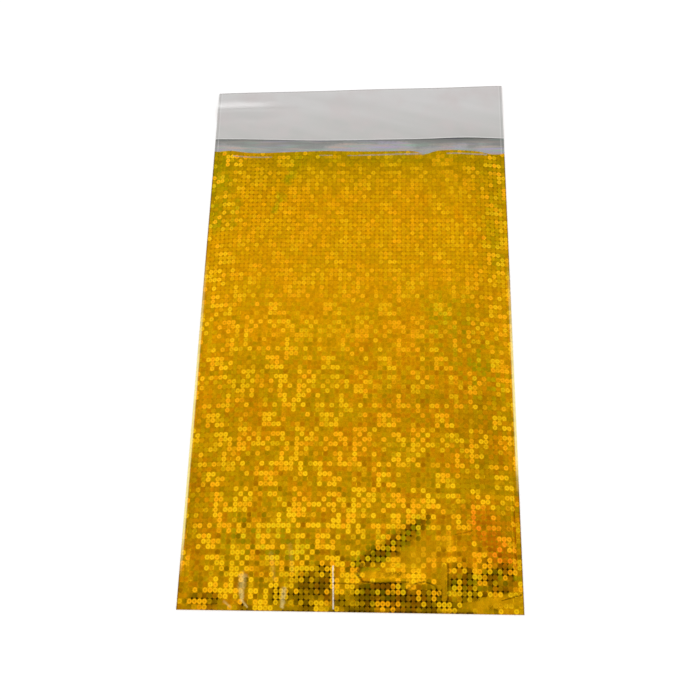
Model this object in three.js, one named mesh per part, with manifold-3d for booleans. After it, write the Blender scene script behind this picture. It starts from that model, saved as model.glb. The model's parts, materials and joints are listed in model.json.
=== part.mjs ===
// A flat mailing bag of foil film, empty and lying on its back, with its flap open.
// One film is folded across the bottom and welded up both sides, so the front panel ends in an
// open mouth and the longer back panel runs on as the flap. A strip of adhesive under a release
// liner crosses the flap. The front panel stands a little off the back, as it does once the
// pocket has been opened.
// Millimetres, +Z up. X runs across the bag and +Y from the bottom fold to the flap's free edge.

import * as THREE from 'three';
import { mergeVertices } from 'three/addons/utils/BufferGeometryUtils.js';
import Module from 'manifold-3d';

// Driving dimensions of the film
const BAG_WIDTH = 160; // over both side welds
const BAG_LENGTH = 250; // from the bottom fold to the mouth
const FLAP_LENGTH = 40; // from the mouth to the flap's free edge, along the left side
const FLAP_OUT_OF_SQUARE = 5; // how much longer the flap was cut along the right side
const FILM_THICKNESS = 0.1;
const SIDE_WELD = 2.5; // width of each side weld
const FOLD_DEPTH = 0.5; // how far the pressed bottom fold reaches into the bag

// Driving dimensions of the open pocket
const BELLY_GAP = 6; // height in the middle of the bag
const MOUTH_GAP = 5; // height at the middle of the mouth
const SIDE_CLIMB = 25; // run over which the front panel climbs from a side weld
const FOLD_CLIMB = 45; // run over which it climbs from the bottom fold
const MOUTH_TAPER = 80; // run over which the height changes from belly to mouth

// Driving dimensions of the closing strip on the flap
const LINER_FROM_MOUTH = 9; // mouth to the liner's lower edge
const LINER_MARGIN = 1; // liner's upper edge to the flap's free edge
const LINER_THICKNESS = 0.06;
const ADHESIVE_INSET = 4; // how far the adhesive stays inside the liner's two long edges
const ADHESIVE_THICKNESS = 0.04;

// Fineness of the facets
const CLIMB_STEPS = 5; // facets along each climb of the front panel
const TAPER_STEPS = 4; // facets along the taper to the mouth
const FOLD_STEPS = 8; // facets round the bottom fold

// Heights of the layers, worked out once so that the faces that meet share their values
const WELD_PLANE = FILM_THICKNESS / 2; // where the front film has melted into the back
const FLAP_TOP = FILM_THICKNESS;
const ADHESIVE_TOP = FLAP_TOP + ADHESIVE_THICKNESS;

const wasm = await Module();
wasm.setup();

// Turns a closed geometry into a solid that can be joined to others.
function toSolid(geometry) {
  geometry.deleteAttribute('normal');
  geometry.deleteAttribute('uv');
  const merged = mergeVertices(geometry);
  const mesh = new wasm.Mesh({
    numProp: 3,
    vertProperties: new Float32Array(merged.attributes.position.array),
    triVerts: new Uint32Array(merged.index.array),
  });
  return new wasm.Manifold(mesh);
}

// Turns a solid back into a geometry.
function toGeometry(solid) {
  const mesh = solid.getMesh();
  const geometry = new THREE.BufferGeometry();
  geometry.setAttribute('position', new THREE.BufferAttribute(mesh.vertProperties, 3));
  geometry.setIndex(new THREE.BufferAttribute(mesh.triVerts, 1));
  geometry.computeVertexNormals();
  return geometry;
}

// Share of the full height on a climb: a parabola, steep at the seam and level at the end.
function climb(run, length) {
  const share = THREE.MathUtils.clamp(run / length, 0, 1);
  return 1 - (1 - share) ** 2;
}

// Height of the pocket at a point of the front panel: nothing at the welds and the fold.
function pocketHeight(x, y) {
  const sides = climb(BAG_WIDTH / 2 - SIDE_WELD - Math.abs(x), SIDE_CLIMB);
  const fold = climb(y, FOLD_CLIMB);
  const towardsMouth = THREE.MathUtils.smoothstep(y, BAG_LENGTH - MOUTH_TAPER, BAG_LENGTH);
  return THREE.MathUtils.lerp(BELLY_GAP, MOUTH_GAP, towardsMouth) * sides * fold;
}

// Evenly spaced values from start to end, both included.
function spaced(start, end, steps) {
  return Array.from({ length: steps + 1 }, (_, i) => THREE.MathUtils.lerp(start, end, i / steps));
}

// Y of the flap's free edge, which runs out of square, at a place across the bag.
function freeEdge(x) {
  const share = x / BAG_WIDTH + 0.5;
  return BAG_LENGTH + FLAP_LENGTH + FLAP_OUT_OF_SQUARE * share;
}

// A full-width sheet from a straight lower edge to a line parallel to the flap's free edge.
function sheet(lowerEdge, upperMargin, thickness) {
  const half = BAG_WIDTH / 2;
  const outline = new THREE.Shape();
  outline.moveTo(-half, lowerEdge);
  outline.lineTo(half, lowerEdge);
  outline.lineTo(half, freeEdge(half) - upperMargin);
  outline.lineTo(-half, freeEdge(-half) - upperMargin);
  outline.closePath();
  return new THREE.ExtrudeGeometry(outline, { depth: thickness, bevelEnabled: false });
}

// Front panel: a grid of film whose lines are close together where it climbs from a seam.
function frontPanel() {
  const half = BAG_WIDTH / 2;
  const weldEdge = half - SIDE_WELD;
  const rightHalf = [...spaced(weldEdge - SIDE_CLIMB, weldEdge, CLIMB_STEPS), half];
  const leftHalf = rightHalf.map((x) => -x).reverse();
  const across = [...leftHalf, 0, ...rightHalf];
  const foldClimb = spaced(0, FOLD_CLIMB, CLIMB_STEPS);
  const taper = spaced(BAG_LENGTH - MOUTH_TAPER, BAG_LENGTH, TAPER_STEPS);
  const along = [...foldClimb, ...taper];

  const columns = across.length - 1;
  const rows = along.length - 1;
  const panel = new THREE.BoxGeometry(1, 1, 1, columns, rows, 1);
  const points = panel.attributes.position;
  for (let i = 0; i < points.count; i += 1) {
    const x = across[Math.round((points.getX(i) + 0.5) * columns)];
    const y = along[Math.round((points.getY(i) + 0.5) * rows)];
    const height = pocketHeight(x, y);
    const isOutside = points.getZ(i) > 0;
    const innerFace = height > 0 ? FILM_THICKNESS + height : WELD_PLANE;
    points.setXYZ(i, x, y, isOutside ? 2 * FILM_THICKNESS + height : innerFace);
  }
  return panel;
}

// The bottom fold, half-round outside, where the film turns from the back to the front.
function bottomFold() {
  const section = new THREE.Shape();
  section.moveTo(FOLD_DEPTH, 0);
  section.lineTo(FOLD_DEPTH, 2 * FILM_THICKNESS);
  section.absarc(0, FILM_THICKNESS, FILM_THICKNESS, Math.PI / 2, (3 * Math.PI) / 2, false);
  section.closePath();
  const fold = new THREE.ExtrudeGeometry(section, {
    depth: BAG_WIDTH,
    bevelEnabled: false,
    curveSegments: FOLD_STEPS,
  });
  const across = new THREE.Vector3(1, 0, 0);
  const along = new THREE.Vector3(0, 1, 0);
  const up = new THREE.Vector3(0, 0, 1);
  fold.applyMatrix4(new THREE.Matrix4().makeBasis(along, up, across));
  fold.translate(-BAG_WIDTH / 2, 0, 0);
  return fold;
}

// The folded and welded film: back panel with flap, front panel and bottom fold in one piece.
function filmBag() {
  const back = toSolid(sheet(0, 0, FILM_THICKNESS));
  const front = toSolid(frontPanel());
  const fold = toSolid(bottomFold());
  const material = new THREE.MeshStandardMaterial({ color: 0xc4960a, roughness: 0.3, metalness: 0.9 });
  const mesh = new THREE.Mesh(toGeometry(back.add(front).add(fold)), material);
  mesh.name = 'film_bag';
  return mesh;
}

// Pressure-sensitive adhesive on the flap's inner face.
function adhesiveStrip() {
  const lowerEdge = BAG_LENGTH + LINER_FROM_MOUTH + ADHESIVE_INSET;
  const geometry = sheet(lowerEdge, LINER_MARGIN + ADHESIVE_INSET, ADHESIVE_THICKNESS);
  const material = new THREE.MeshStandardMaterial({ color: 0xc9c6ba, roughness: 0.35, metalness: 0 });
  const mesh = new THREE.Mesh(geometry, material);
  mesh.name = 'adhesive_strip';
  mesh.position.z = FLAP_TOP;
  return mesh;
}

// Release liner over the adhesive, peeled off before the flap is closed.
function releaseLiner() {
  const geometry = sheet(BAG_LENGTH + LINER_FROM_MOUTH, LINER_MARGIN, LINER_THICKNESS);
  const material = new THREE.MeshStandardMaterial({ color: 0xcac9c5, roughness: 0.5, metalness: 0 });
  const mesh = new THREE.Mesh(geometry, material);
  mesh.name = 'release_liner';
  mesh.position.z = ADHESIVE_TOP;
  return mesh;
}

// The bag lies with the middle of its outline over the origin and its back at height zero.
const mailer = new THREE.Group();
mailer.add(filmBag(), adhesiveStrip(), releaseLiner());
const lowestY = -FILM_THICKNESS;
const highestY = freeEdge(BAG_WIDTH / 2);
mailer.position.y = -(lowestY + highestY) / 2;

export default mailer;
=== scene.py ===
"""A gold foil mailing bag, empty and open, lying on a pale floor under soft studio light."""
import json
import logging
import math
from dataclasses import dataclass
from enum import Enum
from functools import cache
from typing import ClassVar, Optional, Union

import bpy
import numpy as np
from mathutils import Matrix, Vector


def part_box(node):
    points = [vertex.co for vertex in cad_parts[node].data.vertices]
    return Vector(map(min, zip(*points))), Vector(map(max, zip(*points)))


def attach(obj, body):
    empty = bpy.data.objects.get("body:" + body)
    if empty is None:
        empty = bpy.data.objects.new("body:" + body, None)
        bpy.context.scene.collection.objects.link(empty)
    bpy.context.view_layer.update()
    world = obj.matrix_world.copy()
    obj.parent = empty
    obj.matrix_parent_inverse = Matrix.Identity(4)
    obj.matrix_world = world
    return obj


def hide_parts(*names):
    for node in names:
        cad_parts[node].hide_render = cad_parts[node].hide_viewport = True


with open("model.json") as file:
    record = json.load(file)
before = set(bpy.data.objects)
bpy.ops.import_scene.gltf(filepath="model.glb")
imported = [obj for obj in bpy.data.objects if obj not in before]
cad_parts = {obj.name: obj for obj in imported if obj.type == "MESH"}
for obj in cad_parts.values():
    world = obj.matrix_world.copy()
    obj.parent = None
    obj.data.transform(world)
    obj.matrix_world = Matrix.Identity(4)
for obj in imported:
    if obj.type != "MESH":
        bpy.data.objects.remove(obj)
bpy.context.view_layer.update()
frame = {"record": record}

MM = 0.001
PHOTO_SIDE_PX = 700
UV_NAME = "film"
CREASE_ANGLE = math.radians(50.0)
LOG = logging.getLogger("mailing_bag")

Span = tuple[float, float]
Fineness = tuple[float, float, float]
Colour = tuple[float, float, float, float]
Ramp = tuple[float, float, float, float]
Value = Union[float, tuple, "Wire"]


class Slot(Enum):
    """The record's material slots."""

    FOIL = "foil_film"
    ADHESIVE = "adhesive"
    LINER = "liner"


class Face(Enum):
    """Material places on the folded film."""

    OUTSIDE = 0
    INSIDE = 1


class Mark(Enum):
    """Kinds of marks on the gold film."""

    # Painted highlight: a white line along a sharp crease.
    CREASE_HIGHLIGHT = "white crease"
    # Painted highlight: pale streaks along the ridges of creases.
    RIDGE_HIGHLIGHT = "pale rubbed place"
    # Painted highlight: a pale grey glint on a sharp crease just under the mouth's edge.
    MOUTH_HIGHLIGHT = "grey line under the mouth's edge"
    SMOOTH = "place without dots"
    WARM = "place with orange dots"
    # Painted shade: dark lines in creases, wrinkles and along the bottom fold.
    CREASE_SHADE = "dark crease"
    GREEN = "place with green dots"
    # Painted shade, with fewer of the painted glints.
    SHADE_FEWER_GLINTS = "place with fewer lit dots"
    # Painted glints: places where more of them show.
    SPARK = "place with more lit dots"


def smooth_step(value: np.ndarray, low: float, high: float) -> np.ndarray:
    """Rises smoothly from 0 at low to 1 at high, as 3t squared less 2t cubed.

    Args:
        value: Where to evaluate it.
        low: Where it leaves 0.
        high: Where it reaches 1.

    Returns:
        The step at each value.
    """
    share = np.clip((value - low) / (high - low), 0.0, 1.0)
    return share * share * (3.0 - 2.0 * share)


def climb(run: np.ndarray, length: float) -> np.ndarray:
    """Share of a climb, a parabola steep at its foot, at run 0, and level where run is length."""
    share = np.clip(run / length, 0.0, 1.0)
    return 1.0 - (1.0 - share) ** 2


def bell(value: np.ndarray, width: float) -> np.ndarray:
    """A bell curve of height 1 round 0, whose width is its standard deviation."""
    return np.exp(-0.5 * (value / width) ** 2)


class Relief:
    """A shape that raises or lowers the front panel."""

    def lift(self, x: np.ndarray, y: np.ndarray) -> np.ndarray:
        """Height of the shape at each point, negative where it is lower."""
        raise NotImplementedError


def total(shapes: tuple[Relief, ...], x: np.ndarray, y: np.ndarray) -> np.ndarray:
    """Sum of the heights of several shapes at each point."""
    return sum(shape.lift(x, y) for shape in shapes)


@dataclass(frozen=True)
class Wave(Relief):
    """A sine over the film: its height, its lengths a radian across and along, and its phase."""

    height: float
    across: float
    along: float
    phase: float

    def lift(self, x: np.ndarray, y: np.ndarray) -> np.ndarray:
        """Height of the sine of x over one length plus y over the other."""
        return self.height * np.sin(x / self.across + y / self.along + self.phase)


@dataclass(frozen=True)
class Rise(Relief):
    """A steeper stretch of the front panel's climb from the bottom fold, in millimetres.

    Attributes:
        left: X where it starts, from the bag's middle.
        right: X where it ends.
        low: Distance from the fold where it starts.
        high: Distance from the fold where it ends.
        height: How far the film climbs on it.
        soft: Run over which its ends across the bag fade.
        crest: Run past its end before the film sinks again.
        back: Run past its end after which it has sunk.
    """

    left: float
    right: float
    low: float
    high: float
    height: float
    soft: float = 5.0
    crest: float = 2.0
    back: float = 45.0

    def lift(self, x: np.ndarray, y: np.ndarray) -> np.ndarray:
        """Height of the stretch: a smooth step up along y, and a slow return.

        Args:
            x: Place across the bag.
            y: Distance from the fold.

        Returns:
            The height at each point.
        """
        half = self.soft / 2
        across = smooth_step(x, self.left - half, self.left + half)
        across = across * (1.0 - smooth_step(x, self.right - half, self.right + half))
        down = 1.0 - smooth_step(y, self.high + self.crest, self.high + self.back)
        return self.height * across * smooth_step(y, self.low, self.high) * down


@dataclass(frozen=True)
class Crease(Relief):
    """A ridge or a groove along a straight stretch, in millimetres from the middle and the fold.

    Attributes:
        start: First end.
        end: Second end.
        height: Height of the ridge, negative for a groove.
        width: Standard deviation across it.
    """

    start: Span
    end: Span
    height: float
    width: float

    def lift(self, x: np.ndarray, y: np.ndarray) -> np.ndarray:
        """Height of the crease: a bell curve of the distance from its stretch.

        Args:
            x: Place across the bag.
            y: Distance from the fold.

        Returns:
            The height at each point.
        """
        run = np.subtract(self.end, self.start)
        length = float(np.hypot(*run))
        along = ((x - self.start[0]) * run[0] + (y - self.start[1]) * run[1]) / length
        past = along - np.clip(along, 0.0, length)
        beside = ((x - self.start[0]) * run[1] - (y - self.start[1]) * run[0]) / length
        return self.height * bell(np.hypot(past, beside), self.width)


@dataclass(frozen=True)
class Dent(Relief):
    """A wedge-shaped dent between a slanting rim above and a level rim below, in millimetres.

    Attributes:
        rim_point: A point on the slanting rim.
        rim_turn: Direction of the slanting rim, in degrees from +X.
        rim_run: Run over which the film drops at the slanting rim.
        floor_y: Distance of the level rim from the fold.
        floor_run: Run over which the film rises again at the level rim.
        depth: Depth of the dent.
        fade_x: X over which the dent runs out, from where and to where.
        fade_y: Distances from the fold over which it runs out.
    """

    rim_point: Span
    rim_turn: float
    rim_run: float
    floor_y: float
    floor_run: float
    depth: float
    fade_x: Span
    fade_y: Span

    def lift(self, x: np.ndarray, y: np.ndarray) -> np.ndarray:
        """Height of the dent: smooth steps over its two rims, run out towards its open end.

        Args:
            x: Place across the bag.
            y: Distance from the fold.

        Returns:
            The height at each point.
        """
        turn = math.radians(self.rim_turn)
        under = (x - self.rim_point[0]) * math.sin(turn) - (y - self.rim_point[1]) * math.cos(turn)
        inside = smooth_step(under, -self.rim_run / 2, self.rim_run / 2)
        inside = inside * smooth_step(y - self.floor_y, -self.floor_run / 2, self.floor_run / 2)
        inside = inside * (1.0 - smooth_step(x, *self.fade_x)) * (1.0 - smooth_step(y, *self.fade_y))
        return -self.depth * inside


@dataclass(frozen=True)
class Hump:
    """A wave along an edge: its middle, its height, negative for a dip, and its deviation."""

    x: float
    height: float
    width: float

    def lift(self, x: np.ndarray) -> np.ndarray:
        """Height of the wave, a bell curve, at each place across the bag."""
        return self.height * bell(x - self.x, self.width)


@dataclass(frozen=True)
class BagForm:
    """Sizes of the folded film, in millimetres, and the shape that it lies in.

    X runs across the bag from its middle and y from the bottom fold towards the flap.
    """

    width: float
    length: float
    flap: float
    fold_y: float
    flap_out_of_square: float = 5.0
    film: float = 0.1
    film_gap: float = 0.02
    side_weld: float = 2.5
    weld_line: float = 1.35
    weld_line_depth: float = 0.05
    weld_line_width: float = 0.4
    side_climb: float = 38.0
    mouth_side_climb: float = 10.0
    fold_climb: float = 64.0
    belly: float = 4.4
    mouth: float = 1.5
    mouth_taper: float = 150.0
    hump_depth: float = 55.0
    bite_run: float = 14.0
    slack_side_run: float = 12.0
    slack_fold_run: float = 14.0
    slack_loss_at_mouth: float = 0.7
    fold_side_run: float = 1.5
    fold_bottom_run: float = 2.5
    waver_run: float = 12.0
    pleat_top: float = 5.0
    crumple_low: Span = (12.0, 44.0)
    crumple_right: Span = (-40.0, -18.0)
    crumple_left_share: float = 0.25
    ridge_from_edge: float = 12.3
    ridge_height: float = 1.15
    ridge_width: float = 3.4
    ridge_fade: Span = (-72.0, -20.0)
    ridge_right_share: float = 0.10
    flap_wave_height: float = 0.12
    flap_wave_length: float = 11.0
    flap_wave_phase: float = 0.8
    flap_wave_run: float = 12.0
    slack_waves: tuple[Wave, ...] = (
        Wave(0.20, 17.0, 41.0, 0.6),
        Wave(0.15, -29.0, 13.0, 2.1),
        Wave(0.06, 6.3, -9.1, 4.0),
    )
    pleat_waves: tuple[Wave, ...] = (
        Wave(0.16, 3.7, math.inf, 1.1),
        Wave(0.112, 2.3, math.inf, 4.2),
    )
    rise_waves: tuple[Wave, ...] = (
        Wave(1.3, 4.7, math.inf, 0.5),
        Wave(0.9, 2.9, math.inf, 2.0),
    )
    crumple_waves: tuple[Wave, ...] = (
        Wave(0.055, 1.5, 2.6, 0.4),
        Wave(0.055, 1.1, -3.4, 2.0),
        Wave(0.055, 2.7, 1.6, 5.1),
        Wave(0.055, -4.4, 1.3, 1.2),
    )
    rises: tuple[Rise, ...] = (
        Rise(-76.0, -60.0, 0.5, 9.0, 1.0),
        Rise(-37.0, -27.5, 1.0, 12.0, 1.0),
        Rise(-25.5, -8.4, 1.5, 22.5, 1.9),
        Rise(-6.8, 1.0, 1.0, 17.0, 0.45),
        Rise(3.5, 26.0, 1.2, 15.5, 1.9),
        Rise(26.5, 41.5, 0.5, 12.0, 1.15),
        Rise(47.0, 59.0, 3.5, 22.5, 2.0),
        Rise(61.0, 84.0, 9.0, 28.0, 2.05, 6.0),
    )
    creases: tuple[Crease, ...] = (
        Crease((-7.9, 20.5), (-7.4, 1.3), 0.40, 0.8),
        Crease((-49.4, 16.5), (-50.0, 4.5), 0.35, 1.3),
        Crease((-30.6, 10.0), (-31.0, 1.5), 0.30, 1.0),
        Crease((43.6, 21.0), (43.0, 6.0), 0.40, 2.0),
        Crease((62.0, 7.5), (78.0, 10.0), -0.20, 0.8),
        Crease((7.0, 12.4), (24.0, 13.4), 0.20, 0.6),
        Crease((62.0, 33.0), (79.0, 21.0), 0.30, 2.2),
        Crease((49.0, 30.0), (57.0, 34.5), -0.16, 0.9),
    )
    dents: tuple[Dent, ...] = (
        Dent((8.2, 21.6), 38.5, 12.0, 17.5, 11.0, 2.3, (28.0, 42.0), (42.0, 56.0)),
    )
    humps: tuple[Hump, ...] = (
        Hump(-71.0, 1.1, 5.0),
        Hump(-57.0, -0.4, 9.0),
        Hump(-17.0, 0.6, 8.0),
        Hump(26.0, 0.5, 9.0),
        Hump(52.0, 1.5, 8.5),
    )
    bites: tuple[Hump, ...] = (
        Hump(-80.0, -1.0, 6.0),
        Hump(-55.0, 0.7, 12.0),
        Hump(36.5, 2.0, 3.0),
        Hump(73.0, 1.5, 4.0),
    )

    @classmethod
    def from_frame(cls) -> "BagForm":
        """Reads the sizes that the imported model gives: outline, mouth and fold.

        Returns:
            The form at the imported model's size.
        """
        low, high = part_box("film_bag")
        mouth_y = frame["record"]["physics"]["openings"][0]["box_m"][1][1] / MM
        fold_y = low.y / MM + cls.film
        right_flap = high.y / MM - mouth_y
        return cls(
            width=(high.x - low.x) / MM,
            length=mouth_y - fold_y,
            flap=right_flap - cls.flap_out_of_square,
            fold_y=fold_y,
        )

    @property
    def flat_length(self) -> float:
        """Length of the film before it is folded, along its middle."""
        return 2 * self.length + self.flap + self.flap_out_of_square / 2

    def free_edge(self, x: np.ndarray) -> np.ndarray:
        """Distance of the flap's free edge from the fold, longer towards the right."""
        return self.length + self.flap + self.flap_out_of_square * (x / self.width + 0.5)

    def front_place(self, x: np.ndarray, y: np.ndarray) -> np.ndarray:
        """Place of the front's rows, less the mouth's bites, which die out over a run below it."""
        bite = sum(hump.lift(x) for hump in self.bites)
        return y - bite * smooth_step(y, self.length - self.bite_run, self.length)

    def folds(self, x: np.ndarray, y: np.ndarray) -> np.ndarray:
        """Sum of the rises, creases, dents, pleats and crumples.

        The rises waver across the bag. The pleats are sines times y over their top times e to the
        power of 1 less that. The crumples fade upwards and to the left.

        Args:
            x: Place across the bag.
            y: Distance from the fold.

        Returns:
            The height at each point.
        """
        waver = total(self.rise_waves, x, y) * climb(y, self.waver_run)
        sharp = total(self.rises, x, y + waver)
        sharp = sharp + total(self.creases + self.dents, x, y)
        up = y / self.pleat_top
        pleats = total(self.pleat_waves, x, y) * up * np.exp(1.0 - up)
        right = smooth_step(x, *self.crumple_right)
        share = self.crumple_left_share + (1.0 - self.crumple_left_share) * right
        share = share * (1.0 - smooth_step(y, *self.crumple_low))
        return sharp + pleats + total(self.crumple_waves, x, y) * share

    def pocket_height(self, x: np.ndarray, y: np.ndarray) -> np.ndarray:
        """Height of the front panel over the back: pillow, folds and slow waves of slack.

        The pillow falls from the belly to the mouth and is pulled down at the sides and the fold.

        Args:
            x: Places across the bag, as a grid.
            y: Distances from the fold, as a grid.

        Returns:
            The height at each point, never under nothing.
        """
        from_weld = self.width / 2 - self.side_weld - np.abs(x)
        taper = smooth_step(y, self.length - self.mouth_taper, self.length)
        side_run = self.side_climb + (self.mouth_side_climb - self.side_climb) * taper
        edge = sum(hump.lift(x) for hump in self.humps)
        middle = self.belly + (self.mouth - self.belly) * taper
        middle = middle + edge * smooth_step(y, self.length - self.hump_depth, self.length)
        from_fold = np.sin(np.clip(y / self.fold_climb, 0.0, 1.0) * math.pi / 2)
        pillow = middle * climb(from_weld, side_run) * from_fold
        loose = self.folds(x, y) * climb(from_weld, self.fold_side_run) * climb(y, self.fold_bottom_run)
        slack = total(self.slack_waves, x, y) * (1.0 - self.slack_loss_at_mouth * taper)
        slack = slack * climb(from_weld, self.slack_side_run) * climb(y, self.slack_fold_run)
        return np.maximum(pillow + (loose + slack) * (from_weld > 0), 0.0)

    def flap_lift(self, x: np.ndarray, y: np.ndarray) -> np.ndarray:
        """Height of the flap over the floor: a low ridge near its free edge, and waves across.

        Args:
            x: Place across the bag.
            y: Distance from the fold.

        Returns:
            The height at each point.
        """
        from_edge = self.free_edge(x) - y
        ridge = self.ridge_height * bell(from_edge - self.ridge_from_edge, self.ridge_width)
        left = 1.0 - smooth_step(x, *self.ridge_fade)
        waves = 1.0 + np.sin(x / self.flap_wave_length + self.flap_wave_phase)
        waves = waves * smooth_step(y, self.length, self.length + self.flap_wave_run)
        share = self.ridge_right_share + (1.0 - self.ridge_right_share) * left
        return ridge * share + self.flap_wave_height * waves

    def weld_groove(self, x: np.ndarray) -> np.ndarray:
        """Depth of the line that the welding bar leaves, a narrow bell curve at each weld."""
        past = np.abs(x) - (self.width / 2 - self.weld_line)
        return self.weld_line_depth * bell(past, self.weld_line_width)

    def lines_across(self, count: int) -> np.ndarray:
        """Places of a grid's lines across the bag, from left to right, with extra ones at the welds.

        Args:
            count: Lines between the welds.

        Returns:
            The places.
        """
        clear, beside = 1.0, 0.45
        half = self.width / 2
        weld = half - self.side_weld
        mark = half - self.weld_line
        right = np.array([weld, mark - beside, mark, mark + beside, half])
        return np.concatenate([-right[::-1], np.linspace(clear - weld, weld - clear, count), right])

    def in_frame(self, x: np.ndarray, y: np.ndarray, z: np.ndarray) -> np.ndarray:
        """Joins millimetres from the fold to points of the frame, in metres."""
        return np.stack([x, y + self.fold_y, z], axis=-1) * MM


def shell(outer: np.ndarray, inner: np.ndarray) -> tuple[np.ndarray, np.ndarray, int]:
    """Closes two grids of points into one thin shell with a rim on all four sides.

    Args:
        outer: Grid of the outer face, rows by columns by 3.
        inner: Grid of the inner face, of the same shape.

    Returns:
        The points, the four-sided faces, outer ones first and inner ones next, and how many of each.
    """
    rows, columns = outer.shape[:2]
    out = np.arange(rows * columns).reshape(rows, columns)
    into = out + rows * columns
    corners = (
        (out[:-1, :-1], out[1:, :-1], out[1:, 1:], out[:-1, 1:]),
        (into[:-1, :-1], into[:-1, 1:], into[1:, 1:], into[1:, :-1]),
        (out[:-1, 0], into[:-1, 0], into[1:, 0], out[1:, 0]),
        (out[:-1, -1], out[1:, -1], into[1:, -1], into[:-1, -1]),
        (out[0, :-1], out[0, 1:], into[0, 1:], into[0, :-1]),
        (out[-1, :-1], into[-1, :-1], into[-1, 1:], out[-1, 1:]),
    )
    faces = [np.stack([corner.ravel() for corner in four], axis=1) for four in corners]
    points = np.concatenate([outer.reshape(-1, 3), inner.reshape(-1, 3)])
    return points, np.concatenate(faces), len(faces[0])


def film_piece(
    name: str, node: str, grids: tuple, materials: list[bpy.types.Material]
) -> bpy.types.Object:
    """Makes a thin film from its grids, smooth and at the origin, and puts it in the frame.

    Args:
        name: Name of the piece.
        node: Node that it stands for.
        grids: Outer grid and inner grid in metres, and the map that both faces share.
        materials: Finish of the outer face and the rims, and then of the inner face, if it differs.

    Returns:
        The piece, in the scene.
    """
    outer, inner, chart = grids
    points, faces, count = shell(outer, inner)
    uv = np.concatenate([chart.reshape(-1, 2)] * 2)
    places = np.full(len(faces), Face.OUTSIDE.value, dtype=np.int32)
    if len(materials) > 1:
        places[count:2 * count] = Face.INSIDE.value
    mesh = bpy.data.meshes.new(name)
    mesh.vertices.add(len(points))
    mesh.vertices.foreach_set("co", points.astype(np.float32).ravel())
    mesh.loops.add(faces.size)
    mesh.loops.foreach_set("vertex_index", faces.astype(np.int32).ravel())
    mesh.polygons.add(len(faces))
    mesh.polygons.foreach_set("loop_start", np.arange(0, faces.size, 4, dtype=np.int32))
    mesh.update(calc_edges=True)
    layer = mesh.uv_layers.new(name=UV_NAME)
    layer.data.foreach_set("uv", uv[faces.ravel()].astype(np.float32).ravel())
    for material in materials:
        mesh.materials.append(material)
    mesh.polygons.foreach_set("material_index", places)
    mesh.polygons.foreach_set("use_smooth", np.ones(len(faces), dtype=bool))
    mesh.set_sharp_from_angle(angle=CREASE_ANGLE)
    mesh.validate()
    piece = bpy.data.objects.new(name, mesh)
    bpy.context.scene.collection.objects.link(piece)
    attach(piece, "root")
    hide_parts(node)
    return piece


class Wire:
    """An output of a node, on which Python's arithmetic adds Math nodes."""

    def __init__(self, graph: "ShaderGraph", socket: bpy.types.NodeSocket) -> None:
        """Keeps the graph and the output."""
        self.graph = graph
        self.socket = socket

    def __add__(self, other: Value) -> "Wire":
        """This plus another."""
        return self.graph.math("ADD", self, other)

    def __sub__(self, other: Value) -> "Wire":
        """This less another."""
        return self.graph.math("SUBTRACT", self, other)

    def __rsub__(self, other: Value) -> "Wire":
        """Another less this."""
        return self.graph.math("SUBTRACT", other, self)

    def __mul__(self, other: Value) -> "Wire":
        """This times another."""
        return self.graph.math("MULTIPLY", self, other)

    def __truediv__(self, other: Value) -> "Wire":
        """This over another."""
        return self.graph.math("DIVIDE", self, other)

    def __abs__(self) -> "Wire":
        """Its amount without its sign."""
        return self.graph.math("ABSOLUTE", self)

    __radd__ = __add__
    __rmul__ = __mul__

    def step(self, low: float, high: float, start: float = 0.0, end: float = 1.0) -> "Wire":
        """Smooth step, from start where this is low to end where it is high."""
        inputs = {"Value": self, "From Min": low, "From Max": high, "To Min": start, "To Max": end}
        return self.graph.wire("MapRange", inputs, "Result", interpolation_type="SMOOTHSTEP")

    def fall(self, low: float, high: float, top: float = 1.0) -> "Wire":
        """Smooth step down, from top where this is low to nothing where it is high."""
        return self.step(low, high, top, 0.0)


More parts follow.
